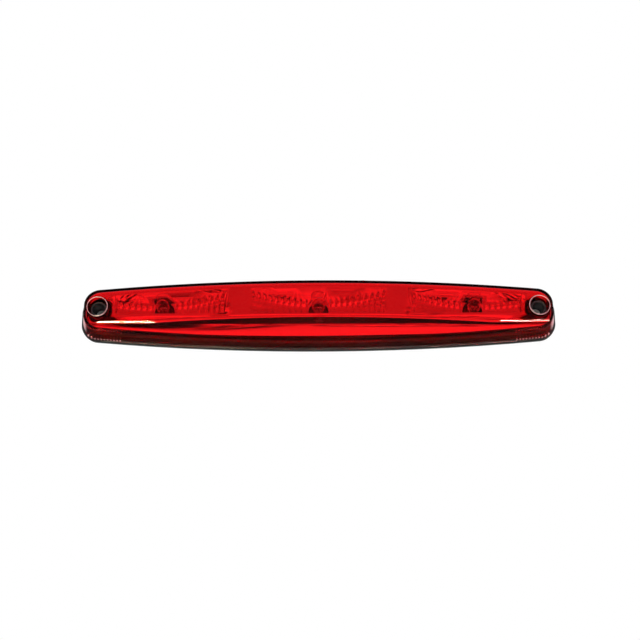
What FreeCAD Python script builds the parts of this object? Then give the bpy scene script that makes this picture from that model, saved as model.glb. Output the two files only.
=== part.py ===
import FreeCAD, Part
import math
import os

# Third brake light for the back of a vehicle, as it is mounted: the lens faces -Y, the long way
# runs along X and +Z is up. The origin is the middle of the mounting plane, the face of the gasket
# that is pressed on the body panel. Lengths are in millimetres. Inside this file a depth is the
# distance forward of the mounting plane, so depth d lies at y = -d, and a negative depth is behind
# the panel.

os.makedirs("parts", exist_ok=True)

V = FreeCAD.Vector
FORWARD = V(0, -1, 0)

# ---- driving dimensions -------------------------------------------------------------------
HALF_LENGTH = 180.0          # housing flange, middle to end
HALF_WIDTH = 25.5            # housing flange at the middle of its length
ARCH_RADIUS = 1850.0         # long edges, seen from the front
CORNER_RADIUS = 13.0

GASKET_THICK = 3.0
FLANGE_THICK = 3.0
SEAL_THICK = 1.0             # sealant bead under the lens foot
LENS_WALL = 2.0
LENS_HEIGHT = 27.0           # depth of the lens face at its highest
FIT_GAP = 0.3                # between bodies that move past each other
RUN_GAP = 0.08               # radial, holder barrel in its hole

BULB_PITCH = 117.7
BULB_Z = 6.0
SCREW_X = 165.0
SCREW_Z = 2.0

CREASE_Z = -9.0              # ridge of the lens and dark slot behind it
PANEL_DEPTH = 18.5           # front face of the reflector's plain panels
BAY_DEPTH = 2.0              # front face of the reflector where a bay is deepest
SHELL = 1.6                  # reflector moulding thickness
FLUTE_PITCH = 4.2
FLUTE_BULGE = 0.55

TUB_FLOOR_BACK = -5.0
TUB_FLOOR = 2.5              # thickness
TUB_HALF_LENGTH = 152.5
TUB_HALF_WIDTH = 20.0
TUB_WALL = 1.6

# ---- worked out from them -----------------------------------------------------------------
FLANGE_FRONT = GASKET_THICK + FLANGE_THICK
LENS_FOOT = FLANGE_FRONT + SEAL_THICK
TUB_FLOOR_FRONT = TUB_FLOOR_BACK + TUB_FLOOR
BULB_XS = {"left": -BULB_PITCH, "centre": 0.0, "right": BULB_PITCH}
EVERYWHERE = 500.0


# ---- small helpers ------------------------------------------------------------------------
def at(x, depth, z):
    """A point given by its depth in front of the mounting plane."""
    return V(x, -depth, z)


def block(x_low, x_high, depth_low, depth_high, z_low, z_high):
    """A box between two x, two depths and two z."""
    size = (x_high - x_low, depth_high - depth_low, z_high - z_low)
    return Part.makeBox(*size, V(x_low, -depth_high, z_low))


def rod(radius, x, z, depth_low, depth_high):
    """A cylinder along the depth."""
    return Part.makeCylinder(radius, depth_high - depth_low, at(x, depth_low, z), FORWARD)


def cone(radius_low, radius_high, x, z, depth_low, depth_high):
    """A cone along the depth."""
    return Part.makeCone(radius_low, radius_high, depth_high - depth_low, at(x, depth_low, z), FORWARD)


def fuse(shapes):
    """One solid from several that touch."""
    joined = shapes[0].multiFuse(shapes[1:]) if len(shapes) > 1 else shapes[0]
    return joined.removeSplitter()


def cut(shape, tools):
    """The shape with all the tools, which may overlap each other, taken away."""
    return shape.cut(fuse(tools))


def save(name, shape):
    """Writes one sub-part."""
    shape.exportStep("parts/" + name + ".step")


def arch_drop(x):
    """How far the long edges have come in at a distance x from the middle."""
    return ARCH_RADIUS - math.sqrt(ARCH_RADIUS ** 2 - x ** 2)


# ---- the outline that the rim, lens and reflector share ------------------------------------
def corner_centre(half_length, half_width, corner):
    """Centre of the upper right corner's arc, for long edges parallel to the flange's edge."""
    radius = ARCH_RADIUS + half_width - HALF_WIDTH
    x = half_length - corner
    return x, half_width - radius + math.sqrt((radius - corner) ** 2 - x ** 2)


def outline(half_length, half_width, depth, corner):
    """Closed wire: arched long edges, straight ends and rounded corners, parallel to the flange's edge."""
    radius = ARCH_RADIUS + half_width - HALF_WIDTH
    arch_centre = half_width - radius
    corner_x, corner_z = corner_centre(half_length, half_width, corner)
    reach = radius / (radius - corner)
    edge_x = corner_x * reach
    edge_z = arch_centre + (corner_z - arch_centre) * reach
    turn = math.atan2(edge_z - corner_z, edge_x - corner_x) / 2
    bend_x = corner_x + corner * math.cos(turn)
    bend_z = corner_z + corner * math.sin(turn)

    def arc(*points):
        return Part.Arc(*[at(x, depth, z) for x, z in points]).toShape()

    def line(start, end):
        return Part.LineSegment(at(start[0], depth, start[1]), at(end[0], depth, end[1])).toShape()

    edges = [
        arc((-edge_x, edge_z), (0, half_width), (edge_x, edge_z)),
        arc((edge_x, edge_z), (bend_x, bend_z), (half_length, corner_z)),
        line((half_length, corner_z), (half_length, -corner_z)),
        arc((half_length, -corner_z), (bend_x, -bend_z), (edge_x, -edge_z)),
        arc((edge_x, -edge_z), (0, -half_width), (-edge_x, -edge_z)),
        arc((-edge_x, -edge_z), (-bend_x, -bend_z), (-half_length, -corner_z)),
        line((-half_length, -corner_z), (-half_length, corner_z)),
        arc((-half_length, corner_z), (-bend_x, bend_z), (-edge_x, edge_z)),
    ]
    return Part.Wire(edges)


def slab(inset, depth_low, depth_high):
    """A plate of the flange's outline, smaller all round by inset."""
    wire = outline(HALF_LENGTH - inset, HALF_WIDTH - inset, depth_low, CORNER_RADIUS - inset)
    return Part.Face(wire).extrude(FORWARD * (depth_high - depth_low))


# ---- lens -----------------------------------------------------------------------------------
FOOT_INSET = 1.2             # lens foot inside the flange edge
END_DRAFT = 4.4              # the ends lean in by this over the height
SIDE_DRAFT = 1.5             # and the long sides by this
DRAFT_TOP = 30.0             # depth where those drafts are measured
LENS_CORNER = CORNER_RADIUS - 1.0
WELL_MOUTH = 7.1             # radius of the screw well at the lens face
WELL_FOOT = 6.8
WELL_WALL = 1.5
LIP_WIDTH = 1.0              # ring round the well's mouth
LIP_HEIGHT = 0.5
CROWN_RADIUS = 860.0         # of the upper face, seen from the end
RIDGE_HALF = 2.0             # half the height of the rounded ridge
LOWER_SLOPE = 20.0           # degrees, lower face of the lens and the trim behind it


def lens_block(inset, drop):
    """Solid of the lens's outer form, made smaller by inset at its sides and by drop at its face."""
    corner = LENS_CORNER - inset / 2
    foot_length = HALF_LENGTH - FOOT_INSET - inset
    foot_width = HALF_WIDTH - FOOT_INSET - inset
    foot = outline(foot_length, foot_width, LENS_FOOT, corner)
    brow = outline(foot_length - END_DRAFT, foot_width - SIDE_DRAFT, DRAFT_TOP, corner)
    walls = Part.makeLoft([foot, brow], True, True)
    return walls.common(face_profile(drop))


def arc_drop(radius, run):
    """How far an arc has fallen at a distance from where it was level."""
    return radius - math.sqrt(radius ** 2 - run ** 2)


def face_profile(drop):
    """Everything behind the lens face: a crowned upper face, a rounded ridge and a lower face that slopes back."""
    top = LENS_HEIGHT - drop
    slope = math.radians(LOWER_SLOPE)
    ridge_radius = 2 * RIDGE_HALF / math.sin(slope)
    ridge_start = CREASE_Z + RIDGE_HALF
    ridge_end = CREASE_Z - RIDGE_HALF
    high_z, low_z, back = 40.0, -40.0, -10.0
    crown_height = high_z - ridge_start

    def point(depth, z):
        return at(-EVERYWHERE / 2, depth, z)

    high = point(top - arc_drop(CROWN_RADIUS, crown_height), high_z)
    crown_middle = point(top - arc_drop(CROWN_RADIUS, crown_height / 2), (high_z + ridge_start) / 2)
    level = point(top, ridge_start)
    ridge_middle = point(top - arc_drop(ridge_radius, RIDGE_HALF), CREASE_Z)
    ridge_end_depth = top - arc_drop(ridge_radius, 2 * RIDGE_HALF)
    sloping = point(ridge_end_depth, ridge_end)
    low = point(ridge_end_depth - math.tan(slope) * (ridge_end - low_z), low_z)
    crown = Part.Arc(high, crown_middle, level)
    ridge = Part.Arc(level, ridge_middle, sloping)
    rest = Part.makePolygon([sloping, low, point(back, low_z), point(back, high_z), high])
    edges = [crown.toShape(), ridge.toShape()] + rest.Edges
    return Part.Face(Part.Wire(edges)).extrude(V(EVERYWHERE, 0, 0))


def lens():
    """Red clear cover with two screw wells that run down to the screw seats."""
    outer = lens_block(0.0, 0.0)
    pieces = [outer.cut(lens_block(LENS_WALL, LENS_WALL))]
    bores = []
    for side in (-1, 1):
        x = side * SCREW_X
        tube = cone(WELL_FOOT + WELL_WALL, WELL_MOUTH + WELL_WALL, x, SCREW_Z, LENS_FOOT, LENS_HEIGHT)
        pieces.append(tube.common(outer))
        lip_back = LENS_HEIGHT - LENS_WALL / 2
        pieces.append(rod(WELL_MOUTH + LIP_WIDTH, x, SCREW_Z, lip_back, LENS_HEIGHT + LIP_HEIGHT))
        bores.append(cone(WELL_FOOT, WELL_MOUTH, x, SCREW_Z, LENS_FOOT - 1.0, LENS_HEIGHT + 2.0))
    return cut(fuse(pieces + foot_ribs()), bores)


RIB_PITCH = 2.4              # along x
RIB_COUNT = 11
RIB_START = 5.0              # first rib, in from the lens's end
RIB_RADIUS = 0.55
RIB_HEIGHT = 2.6


def foot_ribs():
    """Short round ribs along the foot of the lens by the lower corners, where it was pressed on the bead."""
    foot_length = HALF_LENGTH - FOOT_INSET
    foot_width = HALF_WIDTH - FOOT_INSET
    corner_x, corner_z = corner_centre(foot_length, foot_width, LENS_CORNER)
    ribs = []
    for step in range(RIB_COUNT):
        x = foot_length - RIB_START - step * RIB_PITCH
        if x > corner_x:
            z = corner_z + math.sqrt(LENS_CORNER ** 2 - (x - corner_x) ** 2)
        else:
            z = foot_width - arch_drop(x)
        for side in (-1, 1):
            ribs.append(rod(RIB_RADIUS, side * x, -z, LENS_FOOT, LENS_FOOT + RIB_HEIGHT))
    return ribs


# ---- reflector and trim ---------------------------------------------------------------------
PANEL_HALF_LENGTH = 173.0
PANEL_HALF_WIDTH = 21.3
PANEL_CORNER = 10.0
WELL_ROOM = WELL_MOUTH + WELL_WALL + 0.6
BAY_TOP_Z = 20.5             # far wall of a bay at its mouth, at the middle of the length
BAY_WALL_LEAN = 5.6          # how much further in that wall's foot lies
BAY_BOTTOM_Z = -1.0
BAY_HALF = 52.0              # middle bay, from the bulb to its end
OUTER_BAY_INNER = 47.0       # side bays, from the bulb towards the middle
OUTER_BAY_OUTER = 36.0       # and towards the screw well
SLOT_TOP_Z = -3.7            # lower edge of the panel at the middle
SLOT_BOTTOM_Z = -8.4         # upper edge of the trim
SLOT_HALF_LENGTH = 131.0     # where the panel's arched edge has come down to the trim
BULB_HOLE = 7.6
BOSS_RADIUS = 3.2


def bay_limits(name):
    """The ends of a bay along x."""
    centre = BULB_XS[name]
    if name == "centre":
        return centre - BAY_HALF, centre + BAY_HALF
    outward = math.copysign(1.0, centre)
    ends = (centre - outward * OUTER_BAY_INNER, centre + outward * OUTER_BAY_OUTER)
    return min(ends), max(ends)


def bay_depth(distance):
    """Depth of the bay's floor at a distance from the bulb along x: a parabola up to the panel."""
    return BAY_DEPTH + (PANEL_DEPTH - BAY_DEPTH) * (distance / BAY_HALF) ** 2


def bay_walls(name, grow):
    """The space between a bay's four leaning walls, its far wall following the arch. grow makes it larger."""
    low, high = bay_limits(name)
    wires = []
    for depth, inset in ((BAY_DEPTH - 4.0, BAY_WALL_LEAN), (PANEL_DEPTH + 2.0, 0.0)):
        x1 = low + inset * 0.3 - grow
        x2 = high - inset * 0.3 + grow
        far = BAY_TOP_Z - inset + grow
        near = BAY_BOTTOM_Z + inset * 0.4 - grow
        middle = (x1 + x2) / 2
        corners = [(x, far - arch_drop(x)) for x in (x1, middle, x2)]
        wires.append(Part.Wire([
            Part.Arc(*[at(x, depth, z) for x, z in corners]).toShape(),
            Part.LineSegment(at(x2, depth, corners[2][1]), at(x2, depth, near)).toShape(),
            Part.LineSegment(at(x2, depth, near), at(x1, depth, near)).toShape(),
            Part.LineSegment(at(x1, depth, near), at(x1, depth, corners[0][1])).toShape(),
        ]))
    return Part.makeLoft(wires, True, True)


def above_trough(name, bulge, drop):
    """Everything in front of a bay's floor, a row of upright flutes along a parabola."""
    centre = BULB_XS[name]
    half = FLUTE_PITCH * math.ceil(BAY_HALF / FLUTE_PITCH + 1.0)
    count = round(2 * half / FLUTE_PITCH)
    edges = []
    for i in range(count):
        start = -half + i * FLUTE_PITCH
        end = start + FLUTE_PITCH
        middle = (start + end) / 2
        points = [(start, bay_depth(start)), (middle, bay_depth(middle) + bulge), (end, bay_depth(end))]
        edges.append(Part.Arc(*[at(centre + x, depth - drop, -10.0) for x, depth in points]).toShape())
    top = PANEL_DEPTH + 12.0
    edge_depth = bay_depth(half) - drop
    left, right = centre - half, centre + half
    edges.append(Part.LineSegment(at(right, edge_depth, -10.0), at(right, top, -10.0)).toShape())
    edges.append(Part.LineSegment(at(right, top, -10.0), at(left, top, -10.0)).toShape())
    edges.append(Part.LineSegment(at(left, top, -10.0), at(left, edge_depth, -10.0)).toShape())
    return Part.Face(Part.Wire(edges)).extrude(V(0, 0, 40.0))


def reflector():
    """Mirror-finished moulding: a plain panel with three fluted bays and two screw bosses behind it."""
    plan = outline(PANEL_HALF_LENGTH, PANEL_HALF_WIDTH, TUB_FLOOR_BACK, PANEL_CORNER)
    behind_panel = Part.Face(plan).extrude(FORWARD * (PANEL_DEPTH - TUB_FLOOR_BACK))
    front = block(-HALF_LENGTH, HALF_LENGTH, PANEL_DEPTH - SHELL, PANEL_DEPTH, -HALF_WIDTH, HALF_WIDTH)
    pieces = [behind_panel.common(front).common(above_slot())]
    hollows = [outside_tub(), outside_rim()]
    for name in BULB_XS:
        body = bay_walls(name, SHELL).common(above_trough(name, 0.0, SHELL))
        pieces.append(body.common(behind_panel))
        hollows.append(bay_walls(name, 0.0).common(above_trough(name, FLUTE_BULGE, 0.0)))
        hollows.append(rod(BULB_HOLE, BULB_XS[name], BULB_Z, TUB_FLOOR_FRONT - 1.0, BAY_DEPTH + 2.5))
    for side in (-1, 1):
        x = side * BULB_PITCH / 2
        pieces.append(rod(BOSS_RADIUS, x, FIX_Z, TUB_FLOOR_FRONT, PANEL_DEPTH - SHELL / 2))
        hollows.append(rod(FIX_RADIUS, x, FIX_Z, TUB_FLOOR_FRONT - 1.0, FIX_TIP))
        hollows.append(rod(WELL_ROOM, side * SCREW_X, SCREW_Z, 0.0, LENS_HEIGHT))
    return cut(fuse(pieces), hollows)


def outside_tub():
    """The housing's flange and tub walls with a little air round them, which the bays keep clear of."""
    top = FLANGE_FRONT + FIT_GAP
    return slab(0.0, TUB_FLOOR_FRONT, top).cut(tub_block(TUB_WALL + FIT_GAP, TUB_FLOOR_FRONT, top))


def outside_rim():
    """The housing's rim wall and what lies outside it, with a little air, which the bays keep clear of."""
    inset = RIM_WALL + FIT_GAP
    inner = outline(RIM_HALF_LENGTH - inset, RIM_HALF_WIDTH - inset, 0.0, RIM_CORNER - inset)
    top = RIM_TOP + FIT_GAP
    return slab(0.0, 0.0, top).cut(Part.Face(inner).extrude(FORWARD * top))


def above_slot():
    """Everything above the panel's lower edge, which is arched and comes down to the trim by the ends."""
    low = SLOT_BOTTOM_Z + FIT_GAP
    reach = SLOT_HALF_LENGTH
    sides = EVERYWHERE / 2

    def point(x, z):
        return at(x, 0.0, z)

    arch = Part.Arc(point(-reach, low), point(0, SLOT_TOP_Z), point(reach, low))
    rest = Part.makePolygon([
        point(reach, low),
        point(sides, low),
        point(sides, HALF_WIDTH),
        point(-sides, HALF_WIDTH),
        point(-sides, low),
        point(-reach, low),
    ])
    return Part.Face(Part.Wire([arch.toShape()] + rest.Edges)).extrude(FORWARD * LENS_HEIGHT)


TRIM_HALF_LENGTH = 173.5
TRIM_HALF_WIDTH = 18.0
TRIM_CORNER = 8.0
TRIM_TOP_DEPTH = 16.5
TRIM_THICK = 1.8             # along the depth
TRIM_FOOT = 2.6              # radius of its two feet


def lower_trim():
    """Smooth mirror-finished strip below the slot, sloping back like the lens in front of it, on two feet."""
    plan = Part.Face(outline(TRIM_HALF_LENGTH, TRIM_HALF_WIDTH, 0.0, TRIM_CORNER)).extrude(FORWARD * LENS_HEIGHT)
    pieces = [plan.common(behind_slope(0.0)).cut(behind_slope(TRIM_THICK))]
    pilots = []
    for side in (-1, 1):
        x = side * TRIM_FIX_X
        foot = rod(TRIM_FOOT, x, TRIM_FIX_Z, TUB_FLOOR_FRONT, TRIM_TOP_DEPTH)
        pieces.append(foot.common(behind_slope(TRIM_THICK / 2)))
        pilots.append(rod(FIX_RADIUS, x, TRIM_FIX_Z, TUB_FLOOR_FRONT - 1.0, FIX_TIP))
    wells = [rod(WELL_ROOM, side * SCREW_X, SCREW_Z, 0.0, LENS_HEIGHT) for side in (-1, 1)]
    return cut(fuse(pieces), pilots + wells)


def behind_slope(drop):
    """Everything below the slot and behind the trim's face, or behind a plane lower than it by drop."""
    low_z = -HALF_WIDTH
    fall = math.tan(math.radians(LOWER_SLOPE)) * (SLOT_BOTTOM_Z - low_z)
    back = TUB_FLOOR_BACK
    depths = [(TRIM_TOP_DEPTH - drop, SLOT_BOTTOM_Z), (TRIM_TOP_DEPTH - drop - fall, low_z),
              (back, low_z), (back, SLOT_BOTTOM_Z)]
    corners = [at(-EVERYWHERE / 2, depth, z) for depth, z in depths]
    return Part.Face(Part.makePolygon(corners + corners[:1])).extrude(V(EVERYWHERE, 0, 0))


# ---- housing ----------------------------------------------------------------------------------
FIX_Z = 9.0                  # screws that hold the reflector, between the bays
FIX_RADIUS = 1.3
FIX_TIP = 5.0
TRIM_FIX_X = 80.0
TRIM_FIX_Z = -13.4
BARREL_RADIUS = 5.6
LUG_RADIUS = 7.0
LUG_ANGLE = 36.0             # width of a lug
LUG_COUNT = 3
UNLOCK_ANGLE = 45.0
TOWER_RADIUS = 5.8
TOWER_BORE = 4.7             # takes the head of an M5 screw
TOWER_TOP = 21.0
SLEEVE_RADIUS = 4.0
SLEEVE_BORE = 2.75           # M5 screw
SLEEVE_TOP = 7.0             # the screw head's seat
RIM_HALF_LENGTH = 174.9      # upright wall just inside the lens
RIM_HALF_WIDTH = 21.4
RIM_CORNER = 10.5
RIM_WALL = 1.2
RIM_TOP = 13.8
STAKE_XS = (-95.0, -30.0, 30.0, 95.0)
LIVE_Z = -5.2
GROUND_Z = -9.4
BAR_WIDTH = 3.0
BAR_THICK = 0.8
VENT_X = -85.0
VENT_Z = 9.0
VENT_RADIUS = 2.2


def sector(radius, x, z, depth_low, depth_high, angle, turned, inner=0.0):
    """A slice of a ring about a holder's axis, centred on the angle turned."""
    full = Part.makeCylinder(radius, depth_high - depth_low, at(x, depth_low, z), FORWARD, angle)
    if inner:
        full = full.cut(rod(inner, x, z, depth_low - 1, depth_high + 1))
    full.rotate(at(x, 0, z), FORWARD, turned - angle / 2)
    return full


def holder_openings(x):
    """Hole for a holder's barrel with its keyways, turned away from where the lugs lock."""
    depths = (TUB_FLOOR_BACK - 1.0, TUB_FLOOR_FRONT + 1.0)
    tools = [rod(BARREL_RADIUS + RUN_GAP, x, BULB_Z, *depths)]
    for i in range(LUG_COUNT):
        turned = i * 360.0 / LUG_COUNT + UNLOCK_ANGLE
        tools.append(sector(LUG_RADIUS + FIT_GAP, x, BULB_Z, *depths, LUG_ANGLE + 6.0, turned))
    return tools


def tub_block(inset, depth_low, depth_high):
    """The tub's plan, which goes through the opening in the panel, smaller by inset."""
    tub = slab(HALF_WIDTH - TUB_HALF_WIDTH + inset, depth_low, depth_high)
    reach = TUB_HALF_LENGTH - inset
    clipped = tub.common(block(-reach, reach, depth_low - 1, depth_high + 1, -40, 40))
    upright = [e for e in clipped.Edges if abs(e.BoundBox.YLength - (depth_high - depth_low)) < 0.01]
    return clipped.makeFillet(5.0 - inset, upright)


def housing():
    """Black back moulding: flange, tub, screw towers, holder holes, heat stakes and connector post."""
    body = [
        slab(0.0, GASKET_THICK, FLANGE_FRONT),
        tub_block(0.0, TUB_FLOOR_BACK, FLANGE_FRONT),
        rim_wall(),
    ]
    tools = [tub_block(TUB_WALL, TUB_FLOOR_FRONT, FLANGE_FRONT + 1.0)]
    for side in (-1, 1):
        x = side * SCREW_X
        body.append(rod(TOWER_RADIUS, x, SCREW_Z, GASKET_THICK, TOWER_TOP))
        tools.append(rod(TOWER_BORE, x, SCREW_Z, SLEEVE_TOP, TOWER_TOP + 1.0))
        tools.append(rod(SLEEVE_RADIUS, x, SCREW_Z, GASKET_THICK - 1.0, SLEEVE_TOP + 1.0))
        for fix_x, fix_z in ((side * BULB_PITCH / 2, FIX_Z), (side * TRIM_FIX_X, TRIM_FIX_Z)):
            tools.append(rod(FIX_RADIUS, fix_x, fix_z, TUB_FLOOR_BACK - 1.0, TUB_FLOOR_FRONT + 1.0))
    for x in BULB_XS.values():
        tools += holder_openings(x)
        body.append(rod(1.0, x + 11.5, BULB_Z + 6.5, TUB_FLOOR_BACK - 2.2, TUB_FLOOR_BACK + 0.5))
    tools.append(rod(VENT_RADIUS, VENT_X, VENT_Z, TUB_FLOOR_BACK - 1.0, TUB_FLOOR_FRONT + 1.0))
    shell = cut(fuse(body), tools)
    return fuse([shell] + stakes() + ribs())


def rim_wall():
    """Wall on the flange that keeps light off the lens's sides."""
    outer = outline(RIM_HALF_LENGTH, RIM_HALF_WIDTH, GASKET_THICK, RIM_CORNER)
    inner = outline(RIM_HALF_LENGTH - RIM_WALL, RIM_HALF_WIDTH - RIM_WALL, GASKET_THICK, RIM_CORNER - RIM_WALL)
    height = FORWARD * (RIM_TOP - GASKET_THICK)
    return Part.Face(outer).extrude(height).cut(Part.Face(inner).extrude(height))


def stakes():
    """Pins of the housing that hold the bus bars, with melted heads."""
    pins = []
    head = TUB_FLOOR_BACK - BAR_THICK
    for x in STAKE_XS:
        for z in (LIVE_Z, GROUND_Z):
            pins.append(rod(0.7, x, z, head - 0.1, TUB_FLOOR_BACK + 0.5))
            pins.append(cone(0.7, 1.3, x, z, head - 0.8, head - 0.4))
            pins.append(rod(1.3, x, z, head - 0.4, head))
    return pins


def ribs():
    """Low stiffening ribs across the back of the tub, clear of the bars and the holders."""
    made = []
    for x in (-138.0, -75.0, -45.0, 45.0, 75.0, 138.0):
        top = 17.5 - arch_drop(x)
        made.append(block(x - 0.8, x + 0.8, TUB_FLOOR_BACK - 2.0, TUB_FLOOR_BACK + 0.5, 0.0, top))
    return made


def mounting_gasket():
    """Closed-cell foam pad between the flange and the body panel, open for the tub and the screws."""
    pad = slab(0.4, 0.0, GASKET_THICK)
    tools = [tub_block(-0.5, -6.0, GASKET_THICK + 1.0)]
    tools += [rod(SLEEVE_RADIUS + 0.4, side * SCREW_X, SCREW_Z, -1.0, GASKET_THICK + 1.0) for side in (-1, 1)]
    return cut(pad, tools)


def lens_sealant():
    """Beads of sealant between the flange and the feet of the lens and its screw wells."""
    ring = slab(FOOT_INSET + 0.2, FLANGE_FRONT, LENS_FOOT)
    beads = [ring.cut(slab(FOOT_INSET + LENS_WALL - 0.1, 0.0, LENS_FOOT + 1.0))]
    for side in (-1, 1):
        x = side * SCREW_X
        bead = rod(WELL_FOOT + WELL_WALL, x, SCREW_Z, FLANGE_FRONT, LENS_FOOT)
        beads.append(bead.cut(rod(WELL_FOOT, x, SCREW_Z, 0.0, LENS_FOOT + 1.0)))
    return Part.makeCompound(beads)


def compression_sleeves():
    """Steel sleeves that take the load of the two mounting screws."""
    sleeves = []
    for side in (-1, 1):
        x = side * SCREW_X
        tube = rod(SLEEVE_RADIUS, x, SCREW_Z, 0.0, SLEEVE_TOP)
        sleeves.append(tube.cut(rod(SLEEVE_BORE, x, SCREW_Z, -1.0, SLEEVE_TOP + 1.0)))
    return Part.makeCompound(sleeves)


def fixing_screws():
    """Small tapping screws through the tub's floor, two into the reflector and two into the trim."""
    screws = []
    for side in (-1, 1):
        for x, z in ((side * BULB_PITCH / 2, FIX_Z), (side * TRIM_FIX_X, TRIM_FIX_Z)):
            back = TUB_FLOOR_BACK
            head = fuse([cone(1.6, 2.2, x, z, back - 1.8, back - 1.0), rod(2.2, x, z, back - 1.0, back)])
            shank = rod(FIX_RADIUS, x, z, back, FIX_TIP)
            slots = [block(x - 1.3, x + 1.3, back - 2.0, back - 1.0, z - 0.3, z + 0.3),
                     block(x - 0.3, x + 0.3, back - 2.0, back - 1.0, z - 1.3, z + 1.3)]
            screws.append(cut(fuse([head, shank]), slots))
    return Part.makeCompound(screws)


# ---- bus bars and connector ----------------------------------------------------------------------
PRONG_NEAR = 8.9             # from a holder's axis to the near edge of a prong
PRONG_FAR = 11.7
PRONG_TOP = BULB_Z + 3.0
STEP_OUT = 3.0               # how far the ground prongs stand back to pass the live bar
CROSSING_GAP = 1.2           # and how far past it they come forward again
CONNECTOR_X = 44.0
BLADE_TIP = -18.0
BLADE_WIDTH = 2.8


def spine(z, start, end):
    """A bar along the back of the tub."""
    return block(start, end, TUB_FLOOR_BACK - BAR_THICK, TUB_FLOOR_BACK, z - BAR_WIDTH / 2, z + BAR_WIDTH / 2)


def blade(z):
    """The blade that stands in the connector."""
    x = CONNECTOR_X
    return block(x - BLADE_WIDTH / 2, x + BLADE_WIDTH / 2, BLADE_TIP, TUB_FLOOR_BACK, z - 0.4, z + 0.4)


def stake_holes(z):
    """Holes for the housing's pins."""
    return [rod(0.7, x, z, TUB_FLOOR_BACK - 3.0, TUB_FLOOR_BACK + 1.0) for x in STAKE_XS]


def live_bus_bar():
    """Brass strip with a prong up the left side of each holder."""
    back = TUB_FLOOR_BACK - BAR_THICK
    pieces = [spine(LIVE_Z, -BULB_PITCH - PRONG_FAR, BULB_PITCH), blade(LIVE_Z)]
    for x in BULB_XS.values():
        pieces.append(block(x - PRONG_FAR, x - PRONG_NEAR, back, TUB_FLOOR_BACK, LIVE_Z, PRONG_TOP))
    return cut(fuse(pieces), stake_holes(LIVE_Z))


def ground_bus_bar():
    """Brass strip whose prongs step back over the live bar and come up the right side of each holder."""
    back = TUB_FLOOR_BACK - BAR_THICK
    far = back - STEP_OUT
    over_top = LIVE_Z + BAR_WIDTH / 2 + CROSSING_GAP
    pieces = [spine(GROUND_Z, -BULB_PITCH, BULB_PITCH + PRONG_FAR), blade(GROUND_Z)]
    for x in BULB_XS.values():
        sides = (x + PRONG_NEAR, x + PRONG_FAR)
        pieces.append(block(*sides, far, TUB_FLOOR_BACK, GROUND_Z - BAR_THICK / 2, GROUND_Z + BAR_THICK / 2))
        pieces.append(block(*sides, far, far + BAR_THICK, GROUND_Z - BAR_THICK / 2, over_top))
        pieces.append(block(*sides, far, TUB_FLOOR_BACK, over_top - BAR_THICK, over_top))
        pieces.append(block(*sides, back, TUB_FLOOR_BACK, over_top - BAR_THICK, PRONG_TOP))
    return cut(fuse(pieces), stake_holes(GROUND_Z))


SOCKET_HALF_X = 7.5
SOCKET_LOW_Z = GROUND_Z - 4.0
SOCKET_HIGH_Z = LIVE_Z + 4.0
SOCKET_WALL = 1.5
SOCKET_BACK = -23.0


def connector_socket():
    """Shroud round the two blades for the vehicle's plug, with a rib that its latch hooks behind."""
    x = CONNECTOR_X
    base = TUB_FLOOR_BACK - BAR_THICK
    inner_x = SOCKET_HALF_X - SOCKET_WALL
    body = block(x - SOCKET_HALF_X, x + SOCKET_HALF_X, SOCKET_BACK, base, SOCKET_LOW_Z, SOCKET_HIGH_Z)
    upright = [e for e in body.Edges if e.BoundBox.YLength > 10.0]
    body = body.makeFillet(1.6, upright)
    cavity = block(x - inner_x, x + inner_x, SOCKET_BACK - 1.0, base - 1.6,
                   SOCKET_LOW_Z + SOCKET_WALL, SOCKET_HIGH_Z - SOCKET_WALL)
    catch = block(x - 2.5, x + 2.5, SOCKET_BACK + 3.0, SOCKET_BACK + 5.0, SOCKET_LOW_Z - 1.2, SOCKET_LOW_Z + 0.2)
    slots = [block(x - BLADE_WIDTH / 2, x + BLADE_WIDTH / 2, base - 3.0, base + 1.0, z - 0.4, z + 0.4)
             for z in (LIVE_Z, GROUND_Z)]
    return cut(fuse([body, catch]), [cavity] + slots)


def breather_cap():
    """Soft cap on a stem that lets the lamp breathe through two notches under its edge."""
    back = TUB_FLOOR_BACK
    bead_top = TUB_FLOOR_FRONT + 1.0
    pieces = [
        rod(VENT_RADIUS, VENT_X, VENT_Z, back - 2.0, TUB_FLOOR_FRONT),
        cone(VENT_RADIUS, VENT_RADIUS + 0.7, VENT_X, VENT_Z, TUB_FLOOR_FRONT, bead_top),
        cone(4.0, 4.6, VENT_X, VENT_Z, back - 4.5, back),
        cone(3.2, 4.0, VENT_X, VENT_Z, back - 5.3, back - 4.5),
    ]
    hollow = rod(1.0, VENT_X, VENT_Z, back - 3.0, bead_top + 1.0)
    notch = block(VENT_X - 5.0, VENT_X + 5.0, back - 1.4, back, VENT_Z - 0.5, VENT_Z + 0.5)
    return cut(fuse(pieces), [hollow, notch.cut(rod(3.0, VENT_X, VENT_Z, back - 2.0, back + 1.0))])


# ---- bulbs and their holders -----------------------------------------------------------------------
CAP_RADIUS = 8.0
CAP_FRONT = TUB_FLOOR_BACK - 1.0
CAP_BACK = TUB_FLOOR_BACK - 3.4
GRIP_BACK = TUB_FLOOR_BACK - 10.0
BARREL_TOP = 1.2
LUG_BACK = TUB_FLOOR_FRONT + FIT_GAP
LUG_FRONT = LUG_BACK + 1.4
SLOT_X = 2.6                 # half size of the slot for the bulb's wedge base
SLOT_Z = 5.0
WEDGE_X = 1.2
WEDGE_Z = 4.7
WEDGE_FOOT = -5.5
GLASS_RADIUS = 4.9
GLASS_FOOT = 1.4
GLASS_TIP = 22.0
GLASS_WALL = 0.5
CONTACT_THICK = 0.5
CONTACT_WIDTH = 3.0
CONTACT_DEPTH = TUB_FLOOR_BACK - BAR_THICK - FIT_GAP


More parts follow.
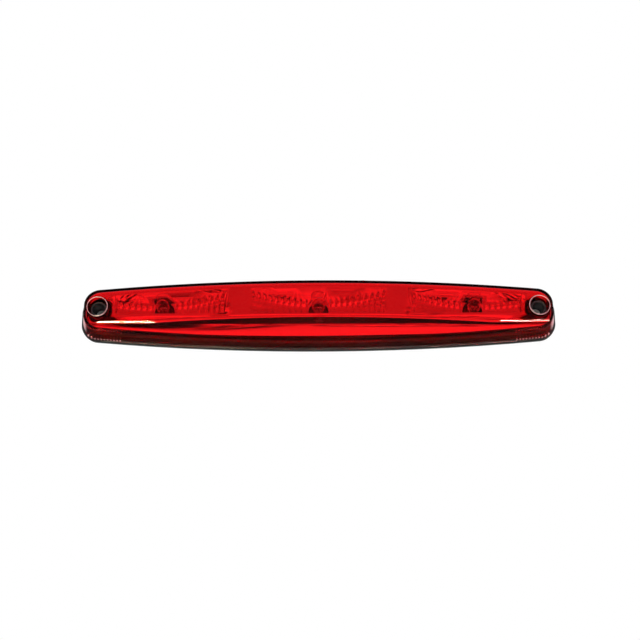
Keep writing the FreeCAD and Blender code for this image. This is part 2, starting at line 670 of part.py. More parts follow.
def bulb_holder(x):
    """Twist-lock holder: barrel with three lugs, cap and finger grip, slotted for the bulb and contacts."""
    pieces = [
        rod(BARREL_RADIUS, x, BULB_Z, CAP_FRONT, BARREL_TOP),
        rod(CAP_RADIUS, x, BULB_Z, CAP_BACK, CAP_FRONT),
        block(x - 2.0, x + 2.0, GRIP_BACK, CAP_BACK, BULB_Z - 7.0, BULB_Z + 7.0),
    ]
    for i in range(LUG_COUNT):
        turned = i * 360.0 / LUG_COUNT
        pieces.append(sector(LUG_RADIUS, x, BULB_Z, LUG_BACK, LUG_FRONT, LUG_ANGLE, turned, 5.0))
    slot = block(x - SLOT_X, x + SLOT_X, CONTACT_DEPTH - CONTACT_THICK, BARREL_TOP + 1.0,
                 BULB_Z - SLOT_Z, BULB_Z + SLOT_Z)
    channel = block(x - CAP_RADIUS - 1, x + CAP_RADIUS + 1, CONTACT_DEPTH - CONTACT_THICK, CONTACT_DEPTH,
                    BULB_Z - CONTACT_WIDTH / 2, BULB_Z + CONTACT_WIDTH / 2)
    return cut(fuse(pieces), [slot.common(rod(BARREL_RADIUS - 0.6, x, BULB_Z, -20, 20)), channel])


def holder_seal(x):
    """Rubber ring between the holder's cap and the housing."""
    ring = rod(7.9, x, BULB_Z, CAP_FRONT, TUB_FLOOR_BACK - FIT_GAP)
    return ring.cut(rod(BARREL_RADIUS, x, BULB_Z, CAP_FRONT - 1.0, TUB_FLOOR_BACK + 1.0))


def holder_contacts(x):
    """Two brass contacts: a leaf that grips the wedge base and a tab that reaches over the bus bar's prong."""
    made = []
    for side in (-1, 1):
        near = WEDGE_X + 0.1
        z_span = (BULB_Z - CONTACT_WIDTH / 2, BULB_Z + CONTACT_WIDTH / 2)
        leaf_x = sorted((x + side * near, x + side * (near + CONTACT_THICK)))
        tab_x = sorted((x + side * near, x + side * (PRONG_FAR - 0.5)))
        leaf = block(*leaf_x, CONTACT_DEPTH - CONTACT_THICK, -0.5, *z_span)
        tab = block(*tab_x, CONTACT_DEPTH - CONTACT_THICK, CONTACT_DEPTH, *z_span)
        made.append(fuse([leaf, tab]))
    return Part.makeCompound(made)


def bulb_glass(x):
    """Clear capsule on a flat pressed wedge."""
    dome_depth = GLASS_TIP - GLASS_RADIUS
    outer = fuse([
        rod(GLASS_RADIUS, x, BULB_Z, GLASS_FOOT, dome_depth),
        Part.makeSphere(GLASS_RADIUS, at(x, dome_depth, BULB_Z)),
        block(x - WEDGE_X, x + WEDGE_X, WEDGE_FOOT, GLASS_FOOT + 0.5, BULB_Z - WEDGE_Z + 0.3, BULB_Z + WEDGE_Z - 0.3),
    ])
    inside = GLASS_RADIUS - GLASS_WALL
    hollow = fuse([
        rod(inside, x, BULB_Z, GLASS_FOOT + 1.2, dome_depth),
        Part.makeSphere(inside, at(x, dome_depth, BULB_Z)),
    ])
    return outer.cut(hollow)


def bulb_filament(x):
    """Two lead wires with the filament between their tips."""
    low, high = GLASS_FOOT + 1.2, 12.0
    wires = [rod(0.3, x + side * 2.2, BULB_Z, low, high) for side in (-1, 1)]
    coil = Part.makeCylinder(0.5, 4.4, at(x - 2.2, high - 0.3, BULB_Z), V(1, 0, 0))
    return fuse(wires + [coil])


# ---- write every sub-part ---------------------------------------------------------------------------
save("lens", lens())
save("lens_sealant", lens_sealant())
save("reflector", reflector())
save("lower_trim", lower_trim())
save("housing", housing())
save("mounting_gasket", mounting_gasket())
save("compression_sleeves", compression_sleeves())
save("fixing_screws", fixing_screws())
save("live_bus_bar", live_bus_bar())
save("ground_bus_bar", ground_bus_bar())
save("connector_socket", connector_socket())
save("breather_cap", breather_cap())
for side_name, bulb_x in BULB_XS.items():
    save("bulb_holder_" + side_name, bulb_holder(bulb_x))
    save("holder_seal_" + side_name, holder_seal(bulb_x))
    save("holder_contacts_" + side_name, holder_contacts(bulb_x))
    save("bulb_glass_" + side_name, bulb_glass(bulb_x))
    save("bulb_filament_" + side_name, bulb_filament(bulb_x))
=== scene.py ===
import math

import bmesh
import bpy
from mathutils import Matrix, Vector


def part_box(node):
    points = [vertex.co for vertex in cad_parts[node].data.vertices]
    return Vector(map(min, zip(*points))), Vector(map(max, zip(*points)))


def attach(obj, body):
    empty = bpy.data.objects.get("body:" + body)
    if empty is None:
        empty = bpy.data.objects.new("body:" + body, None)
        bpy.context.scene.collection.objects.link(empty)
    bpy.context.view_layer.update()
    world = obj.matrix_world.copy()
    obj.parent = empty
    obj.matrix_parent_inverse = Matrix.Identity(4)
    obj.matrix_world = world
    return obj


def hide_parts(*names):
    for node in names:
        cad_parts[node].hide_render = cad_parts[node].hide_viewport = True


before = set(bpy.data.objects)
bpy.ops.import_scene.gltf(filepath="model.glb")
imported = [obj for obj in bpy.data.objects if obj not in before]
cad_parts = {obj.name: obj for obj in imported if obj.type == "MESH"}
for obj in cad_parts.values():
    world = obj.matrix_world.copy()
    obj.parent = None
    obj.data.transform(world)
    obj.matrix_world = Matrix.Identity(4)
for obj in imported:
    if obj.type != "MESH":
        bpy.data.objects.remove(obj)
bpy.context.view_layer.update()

# Third brake light, lens towards -Y, long way along X, +Z up, metres. A depth is the distance in
# front of the mounting plane, so depth d lies at y = -d.

MM = 0.001
BODY = "lamp"
SIDES = ("left", "centre", "right")

lens_low, lens_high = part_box("lens")
flange_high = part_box("housing")[1]
SLEEVE_LOW, SLEEVE_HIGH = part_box("compression_sleeves")
WELL_X = SLEEVE_HIGH.x - (SLEEVE_HIGH.z - SLEEVE_LOW.z) / 2
WELL_Z = (SLEEVE_HIGH.z + SLEEVE_LOW.z) / 2

# The outline that every front part shares is two flat arches joined by rounded ends.
HALF_WIDTH = flange_high.z
HALF_LENGTH = flange_high.x
ARCH_RADIUS = 1850 * MM
LENS_CORNER = 12 * MM
LENS_INSET = 1.2 * MM            # lens foot inside the flange edge
LENS_WALL = 2 * MM
LENS_FOOT = -lens_high.y         # depth where it stands on its sealant
LIP_HEIGHT = 0.5 * MM
LENS_HEIGHT = -lens_low.y - LIP_HEIGHT
DRAFT_TOP = 30 * MM              # depth where the drafts are measured
END_DRAFT = 4.4 * MM
SIDE_DRAFT = 1.5 * MM
EDGE_ROUND = 1.1 * MM            # where the lens's side turns into its face
INNER_ROUND = 0.6 * MM

RIDGE_START = -7.0 * MM          # z where the upper face turns into the rounded ridge
RIDGE_SLOPE = math.radians(20)
RIDGE_HEIGHT = 4 * MM
RIDGE_RADIUS = RIDGE_HEIGHT / math.sin(RIDGE_SLOPE)
CROWN_RADIUS = 860 * MM          # of the upper face, seen from the end


# ---- mesh helpers -------------------------------------------------------------------------
def mesh_piece(name, verts, faces, smooth=True):
    """An object from vertices and faces, with its normals pointing out."""
    mesh = bpy.data.meshes.new(name)
    mesh.from_pydata([tuple(v) for v in verts], [], faces)
    mesh.validate()
    mesh.polygons.foreach_set("use_smooth", [smooth] * len(mesh.polygons))
    piece = bpy.data.objects.new(name, mesh)
    bpy.context.scene.collection.objects.link(piece)
    return piece


def grid_faces(rows, columns, start=0, close=False):
    """Quads of a grid of vertices that is stored row by row."""
    faces = []
    across = columns if close else columns - 1
    for i in range(rows - 1):
        for j in range(across):
            a = start + i * columns + j
            b = start + i * columns + (j + 1) % columns
            faces.append((a, b, b + columns, a + columns))
    return faces


class Builder:
    """Collects grids into one mesh."""

    def __init__(self):
        self.verts = []
        self.faces = []

    def grid(self, rows, close=False):
        """Adds a grid given as a list of rows of points."""
        start = len(self.verts)
        for row in rows:
            self.verts.extend(row)
        self.faces += grid_faces(len(rows), len(rows[0]), start, close)

    def piece(self, name):
        return mesh_piece(name, self.verts, self.faces)


def clean(piece, distance=1e-6):
    """Joins doubled vertices and makes the normals agree."""
    mesh = bmesh.new()
    mesh.from_mesh(piece.data)
    bmesh.ops.remove_doubles(mesh, verts=mesh.verts, dist=distance)
    bmesh.ops.recalc_face_normals(mesh, faces=mesh.faces)
    mesh.to_mesh(piece.data)
    mesh.free()
    return piece


def sharp_by_angle(piece, degrees):
    """Smooth shading that breaks at edges sharper than an angle."""
    piece.data.set_sharp_from_angle(angle=math.radians(degrees))
    return piece


def lerp(a, b, t):
    return a + (b - a) * t


def boolean(piece, tool, operation):
    """Applies a boolean and removes the tool."""
    change = piece.modifiers.new(operation.lower(), "BOOLEAN")
    change.operation = operation
    change.object = tool
    change.solver = "EXACT"
    bpy.context.view_layer.update()
    result = bpy.data.meshes.new_from_object(piece.evaluated_get(bpy.context.evaluated_depsgraph_get()))
    piece.modifiers.clear()
    piece.data = result
    bpy.data.objects.remove(tool)
    return piece


# ---- lens ----------------------------------------------------------------------------------
CORNER_STEPS = 14
ARCH_STEPS = 80
END_ROWS = 72
WALL_STEPS = 8
ROUND_STEPS = 5


def face_depth(z):
    """Depth of the lens's face at a height: crowned above, a rounded ridge, then sloping back."""
    if z >= RIDGE_START:
        return LENS_HEIGHT - CROWN_RADIUS + math.sqrt(CROWN_RADIUS ** 2 - (z - RIDGE_START) ** 2)
    if z >= RIDGE_START - RIDGE_HEIGHT:
        return LENS_HEIGHT - RIDGE_RADIUS + math.sqrt(RIDGE_RADIUS ** 2 - (z - RIDGE_START) ** 2)
    fall = RIDGE_RADIUS * (1 - math.cos(RIDGE_SLOPE))
    return LENS_HEIGHT - fall + math.tan(RIDGE_SLOPE) * (z - RIDGE_START + RIDGE_HEIGHT)


def upper_edge(half_length, half_width, corner):
    """(x, z) along an outline's upper edge from its left end to its right one, round both corners."""
    radius = ARCH_RADIUS + half_width - HALF_WIDTH
    arch_z = half_width - radius
    corner_x = half_length - corner
    corner_z = arch_z + math.sqrt((radius - corner) ** 2 - corner_x ** 2)
    turned = math.asin(corner_x / (radius - corner))
    right = []
    for i in range(ARCH_STEPS):
        angle = turned * i / ARCH_STEPS
        right.append((radius * math.sin(angle), arch_z + radius * math.cos(angle)))
    for i in range(CORNER_STEPS + 1):
        angle = lerp(turned, math.pi / 2, i / CORNER_STEPS)
        right.append((corner_x + corner * math.sin(angle), corner_z + corner * math.cos(angle)))
    return [(-x, z) for x, z in reversed(right[1:])] + right


def outline(half_length, half_width, corner):
    """(x, z) all round: lower edge, right end, upper edge backwards, left end downwards."""
    upper = upper_edge(half_length, half_width, corner)
    lower = [(x, -z) for x, z in upper]
    reach = upper[0][1]
    end = [lerp(-reach, reach, k / END_ROWS) for k in range(1, END_ROWS)]
    right = [(half_length, z) for z in end]
    left = [(-half_length, z) for z in reversed(end)]
    return lower + right + upper[::-1] + left


def lens_ring(inset, pull, drop_face, share=None):
    """One ring of a skin. pull is how far it lies inside the skin's edge.

    A share puts it on the wall, from 0 at the foot to 1 at the top.
    """
    corner = LENS_CORNER - inset / 2 - pull
    length = HALF_LENGTH - LENS_INSET - inset - pull
    width = HALF_WIDTH - LENS_INSET - inset - pull
    foot = outline(length, width, corner)
    top = outline(length - END_DRAFT, width - SIDE_DRAFT, corner)
    ring = []
    for (x0, z0), (x1, z1) in zip(foot, top):
        depth = LENS_HEIGHT
        for _ in range(4):
            t = (depth - LENS_FOOT) / (DRAFT_TOP - LENS_FOOT)
            x, z = lerp(x0, x1, t), lerp(z0, z1, t)
            depth = face_depth(z) - drop_face
        if share is not None:
            depth = lerp(LENS_FOOT, depth, share)
            t = (depth - LENS_FOOT) / (DRAFT_TOP - LENS_FOOT)
            x, z = lerp(x0, x1, t), lerp(z0, z1, t)
        ring.append((x, -depth, z))
    return ring


def lens_skin(builder, inset, drop, rounding):
    """Wall, rounded edge and face of the outer or the inner skin."""
    rows = [lens_ring(inset, 0.0, drop + rounding, i / WALL_STEPS) for i in range(WALL_STEPS + 1)]
    for i in range(1, ROUND_STEPS + 1):
        angle = math.pi / 2 * i / ROUND_STEPS
        pull = rounding * (1 - math.cos(angle))
        rows.append(lens_ring(inset, pull, drop + rounding * (1 - math.sin(angle))))
    builder.grid(rows, close=True)
    edge = rows[-1]
    columns = 2 * (ARCH_STEPS + CORNER_STEPS) + 1
    lower = edge[:columns]
    right = edge[columns:columns + END_ROWS - 1]
    upper = edge[columns + END_ROWS - 1:2 * columns + END_ROWS - 1][::-1]
    left = edge[2 * columns + END_ROWS - 1:][::-1]
    grid = []
    for k in range(END_ROWS + 1):
        row = []
        for j in range(columns):
            if k == 0 or k == END_ROWS:
                row.append(lower[j] if k == 0 else upper[j])
            elif j == 0 or j == columns - 1:
                row.append(left[k - 1] if j == 0 else right[k - 1])
            else:
                x = lerp(lower[j][0], upper[j][0], k / END_ROWS)
                z = lerp(lower[j][2], upper[j][2], k / END_ROWS)
                row.append((x, -(face_depth(z) - drop), z))
        grid.append(row)
    builder.grid(grid)
    return rows[0]


def revolved(builder, profile, x, z, steps):
    """A closed ring solid about an axis along the depth, from (radius, depth) points."""
    rows = []
    for radius, depth in profile + profile[:1]:
        row = []
        for i in range(steps):
            angle = 2 * math.pi * i / steps
            row.append((x + radius * math.cos(angle), -depth, z + radius * math.sin(angle)))
        rows.append(row)
    builder.grid(rows, close=True)


WELL_MOUTH = 7.1 * MM
WELL_FOOT = 6.8 * MM
WELL_WALL = 1.5 * MM
LIP_WIDTH = 1.0 * MM


def well_profile():
    """(radius, depth) round a screw well's wall, with a rounded lip."""
    step_in = LENS_HEIGHT - LENS_WALL / 2
    profile = [(WELL_FOOT + WELL_WALL, LENS_FOOT), (WELL_MOUTH + WELL_WALL, step_in)]
    profile.append((WELL_MOUTH + LIP_WIDTH, step_in))
    lip_round = LIP_WIDTH / 2
    for i in range(9):
        angle = math.pi * i / 8
        profile.append((WELL_MOUTH + lip_round + lip_round * math.cos(angle),
                        LENS_HEIGHT + LIP_HEIGHT - lip_round + lip_round * math.sin(angle)))
    profile.append((WELL_FOOT, LENS_FOOT))
    return profile


def solid_rod(builder, radius, x, z, depth_low, depth_high, steps):
    """A closed cylinder along the depth."""
    start = len(builder.verts)
    rows = []
    for depth in (depth_low, depth_high):
        row = []
        for i in range(steps):
            angle = 2 * math.pi * i / steps
            row.append((x + radius * math.cos(angle), -depth, z + radius * math.sin(angle)))
        rows.append(row)
    builder.grid(rows, close=True)
    builder.faces.append(tuple(range(start, start + steps)))
    builder.faces.append(tuple(range(start + steps, start + 2 * steps)))


WELL_STEPS = 96
CUT_BELOW = 6 * MM               # how far the hole for a well is cut below and above the face
CUT_ABOVE = 3 * MM
RIB_COUNT = 11
RIB_PITCH = 2.4 * MM
RIB_START = 5 * MM
RIB_RADIUS = 0.55 * MM
RIB_HEIGHT = 2.6 * MM
RIB_STEPS = 16


def edge_height(x, half_length, half_width, corner):
    """Height of an outline's upper edge at a distance x from the middle."""
    points = upper_edge(half_length, half_width, corner)
    for (x0, z0), (x1, z1) in zip(points, points[1:]):
        if x0 <= x <= x1:
            return lerp(z0, z1, (x - x0) / (x1 - x0))
    return points[-1][1]


def build_lens():
    """Clear red cover: two skins, rounded edges, screw wells with raised lips, and short ribs at its foot."""
    shell = Builder()
    outer_foot = lens_skin(shell, 0.0, 0.0, EDGE_ROUND)
    inner_foot = lens_skin(shell, LENS_WALL, LENS_WALL, INNER_ROUND)
    shell.grid([outer_foot, inner_foot], close=True)
    lens = clean(shell.piece("red_lens"))
    holes, wells = Builder(), Builder()
    half_length = HALF_LENGTH - LENS_INSET
    half_width = HALF_WIDTH - LENS_INSET
    for side in (-1, 1):
        middle = (side * WELL_X, WELL_Z)
        cut_low, cut_high = LENS_HEIGHT - CUT_BELOW, LENS_HEIGHT + CUT_ABOVE
        solid_rod(holes, WELL_MOUTH + WELL_WALL / 2, *middle, cut_low, cut_high, WELL_STEPS)
        revolved(wells, well_profile(), *middle, WELL_STEPS)
        for step in range(RIB_COUNT):
            x = half_length - RIB_START - step * RIB_PITCH
            z = -edge_height(x, half_length, half_width, LENS_CORNER)
            solid_rod(wells, RIB_RADIUS, side * x, z, LENS_FOOT, LENS_FOOT + RIB_HEIGHT, RIB_STEPS)
    boolean(lens, clean(holes.piece("well_holes")), "DIFFERENCE")
    boolean(lens, clean(wells.piece("wells")), "UNION")
    lens.data.polygons.foreach_set("use_smooth", [True] * len(lens.data.polygons))
    sharp_by_angle(lens, 40)
    return lens


# ---- materials -----------------------------------------------------------------------------
def new_material(name):
    material = bpy.data.materials.new(name)
    material.use_nodes = True
    nodes = material.node_tree.nodes
    return material, nodes, material.node_tree.links, nodes["Principled BSDF"]


def noise(nodes, links, scale, detail=4.0, stretch=None):
    """A noise texture on object coordinates, in metres, stretched along an axis if asked."""
    place = nodes.new("ShaderNodeTexCoord")
    pattern = nodes.new("ShaderNodeTexNoise")
    pattern.inputs["Scale"].default_value = scale
    pattern.inputs["Detail"].default_value = detail
    source = place.outputs["Object"]
    if stretch:
        mapping = nodes.new("ShaderNodeMapping")
        mapping.inputs["Scale"].default_value = stretch
        links.new(source, mapping.inputs["Vector"])
        source = mapping.outputs["Vector"]
    links.new(source, pattern.inputs["Vector"])
    return pattern.outputs["Fac"]


def ramp(nodes, links, source, low, high, start=0.0, end=1.0):
    """Spreads a 0..1 value between two colours, or two numbers given as greys."""
    spread = nodes.new("ShaderNodeValToRGB")
    spread.color_ramp.elements[0].position = start
    spread.color_ramp.elements[1].position = end
    spread.color_ramp.elements[0].color = low if len(low) == 4 else (*low, 1)
    spread.color_ramp.elements[1].color = high if len(high) == 4 else (*high, 1)
    links.new(source, spread.inputs["Fac"])
    return spread.outputs["Color"]


def add_bump(nodes, links, shader, height, distance, strength=1.0):
    bump = nodes.new("ShaderNodeBump")
    bump.inputs["Distance"].default_value = distance
    bump.inputs["Strength"].default_value = strength
    links.new(height, bump.inputs["Height"])
    links.new(bump.outputs["Normal"], shader.inputs["Normal"])


def grey(value):
    return (value, value, value)


def red_lens_material():
    """Clear red acrylic: polished, with faint moulding waviness."""
    material, nodes, links, shader = new_material("clear_red_acrylic")
    shader.inputs["Base Color"].default_value = (0.97, 0.085, 0.1, 1)
    shader.inputs["Specular Tint"].default_value = (0.3, 0.1, 0.1, 1)
    shader.inputs["Transmission Weight"].default_value = 1.0
    shader.inputs["IOR"].default_value = 1.35
    shader.inputs["Roughness"].default_value = 0.0
    waves = noise(nodes, links, 35.0, 2.0, (0.4, 1.0, 1.0))
    add_bump(nodes, links, shader, waves, 0.00012, 0.35)
    return material


def painted_highlight_material():
    """Red acrylic at the lips and ribs: rough, with a pale pink-white colour painted on as the highlight they
    catch.
    """
    material, nodes, links, shader = new_material("red_acrylic_painted_highlight")
    speckle = noise(nodes, links, 1400.0, 3.0)
    # Pale pink-white speckled colour: a painted highlight, not the acrylic's own colour.
    colour = ramp(nodes, links, speckle, (0.5, 0.1, 0.12), (0.85, 0.4, 0.42), 0.35, 0.65)
    links.new(colour, shader.inputs["Base Color"])
    shader.inputs["Transmission Weight"].default_value = 0.25
    shader.inputs["IOR"].default_value = 1.49
    shader.inputs["Roughness"].default_value = 0.3
    add_bump(nodes, links, shader, speckle, 0.00005, 0.5)
    return material


def mirror_material():
    """Vacuum-metallised plastic under a thin lacquer."""
    material, nodes, links, shader = new_material("metallised_mirror")
    shader.inputs["Base Color"].default_value = (0.9, 0.9, 0.91, 1)
    shader.inputs["Metallic"].default_value = 1.0
    haze = noise(nodes, links, 90.0, 5.0)
    links.new(ramp(nodes, links, haze, grey(0.03), grey(0.07)), shader.inputs["Roughness"])
    peel = noise(nodes, links, 160.0, 3.0)
    add_bump(nodes, links, shader, peel, 0.00004, 0.3)
    return material


def moulded_material(name, colour, lighter, grain=2200.0, rough=(0.42, 0.6), depth=0.00006):
    """Grained moulded plastic or rubber with a slightly uneven tone."""
    material, nodes, links, shader = new_material(name)
    tone = noise(nodes, links, 28.0, 6.0)
    links.new(ramp(nodes, links, tone, colour, lighter, 0.35, 0.75), shader.inputs["Base Color"])
    patches = noise(nodes, links, 55.0, 5.0)
    roughness = ramp(nodes, links, patches, grey(rough[0]), grey(rough[1]), 0.3, 0.7)
    links.new(roughness, shader.inputs["Roughness"])
    add_bump(nodes, links, shader, noise(nodes, links, grain, 3.0), depth, 0.6)
    return material


def foam_material():
    """Closed-cell foam: fine pits with painted shade in them, and a dull surface."""
    material, nodes, links, shader = new_material("closed_cell_foam")
    place = nodes.new("ShaderNodeTexCoord")
    cells = nodes.new("ShaderNodeTexVoronoi")
    cells.inputs["Scale"].default_value = 1500.0
    links.new(place.outputs["Object"], cells.inputs["Vector"])
    distance = cells.outputs["Distance"]
    # Darker at the cell middles, where the bump sinks the pits: painted shade in the pits.
    colour = ramp(nodes, links, distance, (0.05, 0.058, 0.055), (0.13, 0.145, 0.14))
    links.new(colour, shader.inputs["Base Color"])
    shader.inputs["Roughness"].default_value = 0.9
    add_bump(nodes, links, shader, distance, 0.0002, 0.6)
    return material


def metal_material(name, dark, light, rough, stretch=(1, 1, 1), scale=300.0):
    """Bare or plated metal with fine drawn or stamped marks."""
    material, nodes, links, shader = new_material(name)
    shader.inputs["Metallic"].default_value = 1.0
    marks = noise(nodes, links, scale, 6.0, stretch)
    links.new(ramp(nodes, links, marks, dark, light, 0.3, 0.7), shader.inputs["Base Color"])
    stains = noise(nodes, links, 120.0, 4.0)
    roughness = ramp(nodes, links, stains, grey(rough[0]), grey(rough[1]), 0.3, 0.7)
    links.new(roughness, shader.inputs["Roughness"])
    add_bump(nodes, links, shader, marks, 0.00002, 0.4)
    return material


def glass_material():
    """Blown bulb glass with faint draw lines."""
    material, nodes, links, shader = new_material("blown_glass")
    shader.inputs["Base Color"].default_value = (0.98, 0.985, 0.98, 1)
    shader.inputs["Transmission Weight"].default_value = 1.0
    shader.inputs["IOR"].default_value = 1.5
    shader.inputs["Roughness"].default_value = 0.0
    add_bump(nodes, links, shader, noise(nodes, links, 260.0, 2.0, (1, 0.25, 1)), 0.00005, 0.25)
    return material


LENS_RED = red_lens_material()
PAINTED_HIGHLIGHT = painted_highlight_material()
MIRROR = mirror_material()
BLACK = moulded_material("grained_black_plastic", (0.006, 0.006, 0.007), (0.014, 0.014, 0.015))
HOLDER = moulded_material("grey_black_nylon", (0.03, 0.03, 0.032), (0.06, 0.06, 0.064), 1500.0, (0.35, 0.5))
SOCKET = moulded_material("connector_nylon", (0.02, 0.02, 0.021), (0.04, 0.04, 0.043), 1800.0, (0.3, 0.45))
RUBBER = moulded_material("moulded_rubber", (0.014, 0.014, 0.014), (0.03, 0.03, 0.03), 900.0, (0.6, 0.8))
SEALANT = moulded_material("butyl_sealant", grey(0.01), grey(0.02), 400.0, (0.3, 0.55), 0.0002)
FOAM = foam_material()
ZINC = metal_material("zinc_plate", (0.5, 0.5, 0.48), (0.72, 0.71, 0.67), (0.28, 0.45))
BRASS = metal_material("brass_strip", (0.55, 0.38, 0.14), (0.8, 0.6, 0.28), (0.2, 0.38), (0.1, 1, 1))
WIRE = metal_material("drawn_wire", (0.35, 0.34, 0.33), (0.55, 0.53, 0.5), (0.2, 0.35))
GLASS = glass_material()


def finish_piece(piece, material, body, replaces=()):
    """Gives a piece its material and body, and hides the CAD nodes it stands for."""
    piece.data.materials.clear()
    piece.data.materials.append(material)
    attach(piece, body)
    for node in replaces:
        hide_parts(node)
    return piece


def paint_node(node, material):
    """A better material on a CAD node that keeps its shape."""
    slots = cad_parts[node].data.materials
    if len(slots) == 0:
        slots.append(material)
    for i in range(len(slots)):
        slots[i] = material


for node, material in {
    "lower_trim": MIRROR, "housing": BLACK, "mounting_gasket": FOAM, "lens_sealant": SEALANT,
    "compression_sleeves": ZINC, "fixing_screws": ZINC, "live_bus_bar": BRASS, "ground_bus_bar": BRASS,
    "connector_socket": SOCKET, "breather_cap": RUBBER,
    "reflector": MIRROR,
}.items():
    paint_node(node, material)
for side in SIDES:
    paint_node("bulb_holder_" + side, HOLDER)
    paint_node("holder_seal_" + side, RUBBER)
    paint_node("holder_contacts_" + side, BRASS)
    paint_node("bulb_glass_" + side, GLASS)
    paint_node("bulb_filament_" + side, WIRE)


def smooth_node(node, degrees):
    """Smooth shading on a CAD node, broken at its real edges."""
    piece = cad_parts[node]
    piece.data.polygons.foreach_set("use_smooth", [True] * len(piece.data.polygons))
    weld = piece.modifiers.new("weld", "WELD")
    weld.merge_threshold = 2e-6
    sharp_by_angle(piece, degrees)


for node in ("lower_trim", "reflector"):
    smooth_node(node, 25)


LIP_HIGHLIGHT_DEPTH = 0.06 * MM            # thickness of the lips' top that gets the painted highlight
RIB_CLEAR = 0.1 * MM             # how far outside the foot's edge a rib's face has to be to get the painted highlight


def paint_edge_highlights(lens):
    """Gives the wells' lips and the small ribs along the foot the material with the painted highlight."""
    lens.data.materials.append(PAINTED_HIGHLIGHT)
    half_length = HALF_LENGTH - LENS_INSET
    half_width = HALF_WIDTH - LENS_INSET
    for polygon in lens.data.polygons:
        x, y, z = polygon.center
        on_lip = -y > LENS_HEIGHT + LIP_HEIGHT - LIP_HIGHLIGHT_DEPTH
        by_end = z < 0 and abs(x) > half_length - RIB_START - RIB_COUNT * RIB_PITCH
        by_foot = by_end and -y < LENS_FOOT + RIB_HEIGHT
        outside = by_foot and -z > edge_height(abs(x), half_length, half_width, LENS_CORNER) + RIB_CLEAR
        if on_lip or outside:
            polygon.material_index = 1


red_lens = finish_piece(build_lens(), LENS_RED, BODY, ["lens"])
paint_edge_highlights(red_lens)


# ---- stage, lights and camera -----------------------------------------------------------------
FLOOR_Z = -0.5


def build_floor():
    """Plain pale floor well below the lamp, which hangs where a vehicle would hold it."""
    half = 40.0
    floor = mesh_piece("floor", [(-half, -half, FLOOR_Z), (half, -half, FLOOR_Z), (half, half, FLOOR_Z),
                                 (-half, half, FLOOR_Z)], [(0, 1, 2, 3)], False)
    material, nodes, links, shader = new_material("pale_floor")
    tone = noise(nodes, links, 3.0, 2.0)
    links.new(ramp(nodes, links, tone, grey(0.82), grey(0.86)), shader.inputs["Base Color"])
    shader.inputs["Roughness"].default_value = 0.8
    floor.data.materials.append(material)
    floor.visible_glossy = False
    floor.visible_transmission = False


GLINT_RECEIVERS = bpy.data.collections.new("mirrors_the_glints")
GLINT_RECEIVERS.objects.link(red_lens)


def area_light(name, place, aim, size, watts, colour=(1, 1, 1), glint=False):
    """A soft rectangular light aimed at a place. A glint only shows in the lens and lights nothing else."""
    data = bpy.data.lights.new(name, "AREA")
    data.shape = "RECTANGLE"
    data.size, data.size_y = size
    data.energy = watts
    data.color = colour
    light = bpy.data.objects.new(name, data)
    light.visible_glossy = glint
    light.visible_transmission = False
    light.visible_diffuse = not glint
    if glint:
        light.light_linking.receiver_collection = GLINT_RECEIVERS
    light.location = place
    light.rotation_euler = (Vector(aim) - Vector(place)).to_track_quat("-Z", "Y").to_euler()
    bpy.context.scene.collection.objects.link(light)


def blend(nodes, links, amount, first, second):
    """The first colour where the amount is 0, the second where it is 1."""
    mixed = nodes.new("ShaderNodeMix")
    mixed.data_type = "RGBA"
    links.new(amount, mixed.inputs["Factor"])
    links.new(first, mixed.inputs["A"])
    links.new(second, mixed.inputs["B"])
    return mixed.outputs["Result"]


def share(nodes, links, source, start, end):
    """0 below the start, 1 above the end and a smooth rise between."""
    return ramp(nodes, links, source, grey(0.0), grey(1.0), start, end)


def math_of(nodes, links, operation, source, value=0.0):
    """One maths step on a value."""
    step = nodes.new("ShaderNodeMath")
    step.operation = operation
    links.new(source, step.inputs[0])
    step.inputs[1].default_value = value
    return step.outputs["Value"]


def room_brightness(nodes, links):
    """What the lamp reflects, which the camera doesn't see.

    A bright wall ahead, streaky sides and ground, a bright floor below and a dim room behind.
    """
    place = nodes.new("ShaderNodeTexCoord")
    split = nodes.new("ShaderNodeSeparateXYZ")
    links.new(place.outputs["Generated"], split.inputs["Vector"])
    aside = math_of(nodes, links, "ABSOLUTE", split.outputs["X"])
    ahead = math_of(nodes, links, "MULTIPLY", split.outputs["Y"], -1.0)
    below = math_of(nodes, links, "MULTIPLY", split.outputs["Z"], -1.0)
    patches = nodes.new("ShaderNodeTexNoise")
    patches.inputs["Scale"].default_value = 7.0
    patches.inputs["Detail"].default_value = 2.0
    links.new(place.outputs["Generated"], patches.inputs["Vector"])
    streaks = ramp(nodes, links, patches.outputs["Fac"], grey(0.02), grey(1.3), 0.4, 0.62)
    wall = ramp(nodes, links, split.outputs["Z"], grey(1.2), grey(0.62), 0.0, 0.3)
    sided = blend(nodes, links, share(nodes, links, aside, 0.22, 0.4), wall, streaks)
    ground = blend(nodes, links, share(nodes, links, below, 0.3, 0.45), sided, streaks)
    underfoot = ramp(nodes, links, below, grey(1.1), grey(1.15))
    steep = blend(nodes, links, share(nodes, links, ahead, 0.46, 0.54), underfoot, ground)
    front = blend(nodes, links, share(nodes, links, below, 0.1, 0.25), ground, steep)
    rear = ramp(nodes, links, split.outputs["Z"], grey(0.04), grey(0.8), 0.0, 0.15)
    return blend(nodes, links, share(nodes, links, split.outputs["Y"], 0.0, 0.2), front, rear)


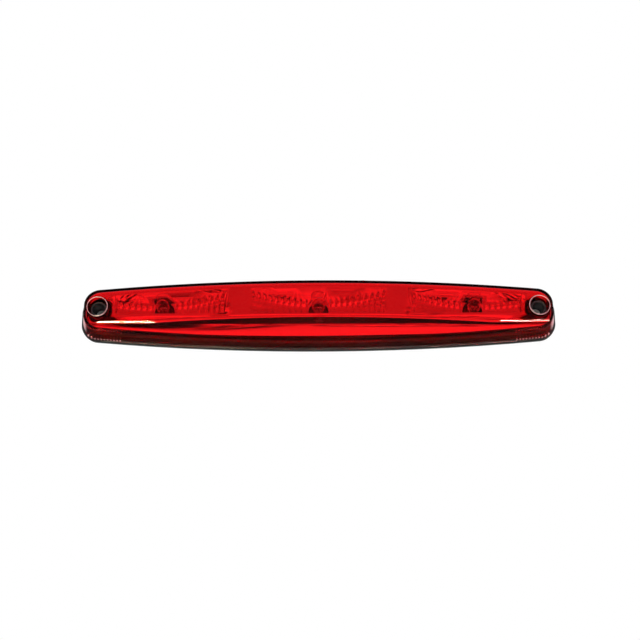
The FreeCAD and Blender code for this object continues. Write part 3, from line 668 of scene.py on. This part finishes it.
def build_lights():
    world = bpy.data.worlds.new("studio")
    world.use_nodes = True
    bpy.context.scene.world = world
    nodes, links = world.node_tree.nodes, world.node_tree.links
    seen = nodes["Background"]
    seen.inputs["Color"].default_value = (1, 1, 1, 1)
    room = nodes.new("ShaderNodeBackground")
    links.new(room_brightness(nodes, links), room.inputs["Color"])
    path = nodes.new("ShaderNodeLightPath")
    choose = nodes.new("ShaderNodeMixShader")
    links.new(path.outputs["Is Camera Ray"], choose.inputs["Fac"])
    links.new(room.outputs["Background"], choose.inputs[1])
    links.new(seen.outputs["Background"], choose.inputs[2])
    links.new(choose.outputs["Shader"], nodes["World Output"].inputs["Surface"])
    area_light("key", (-0.7, -1.2, 0.9), (0, 0, 0), (0.6, 0.6), 14)
    area_light("fill", (0.9, -1.0, 0.3), (0, 0, 0), (0.5, 0.8), 8)
    area_light("back", (0.3, 1.3, 0.8), (0, 0, 0), (0.8, 0.8), 16)
    yellow, pink = (1, 0.95, 0.55), (1, 0.6, 0.55)
    area_light("left_glint", (-0.392, -1.5, -0.31), (-0.146, 0, -0.01), (0.12, 0.24), 125, yellow, True)
    area_light("right_glint", (0.412, -1.5, -0.31), (0.153, 0, -0.01), (0.1, 0.24), 80, pink, True)


CAMERA_ELEVATION = -20.0
CAMERA_DISTANCE = 0.9
CAMERA_ROLL = 0.2


def build_camera():
    """A long-lens view from a little below the lamp's level, straight in front of its middle."""
    data = bpy.data.cameras.new("camera")
    data.lens = 66.9
    data.sensor_width = 36.0
    camera = bpy.data.objects.new("camera", data)
    tilt = math.radians(CAMERA_ELEVATION)
    aim = Vector((0.0011, -0.011, -0.0035))
    camera.location = aim + CAMERA_DISTANCE * Vector((0, -math.cos(tilt), math.sin(tilt)))
    camera.rotation_euler = (aim - camera.location).to_track_quat("-Z", "Y").to_euler()
    camera.rotation_euler.rotate_axis("Z", math.radians(-CAMERA_ROLL))
    bpy.context.scene.collection.objects.link(camera)
    bpy.context.scene.camera = camera


def set_view():
    scene = bpy.context.scene
    scene.view_settings.view_transform = "Standard"
    scene.cycles.max_bounces = 20
    scene.cycles.glossy_bounces = 12
    scene.cycles.transmission_bounces = 16
    scene.cycles.caustics_reflective = True
    scene.cycles.caustics_refractive = True


build_floor()
build_lights()
build_camera()
set_view()
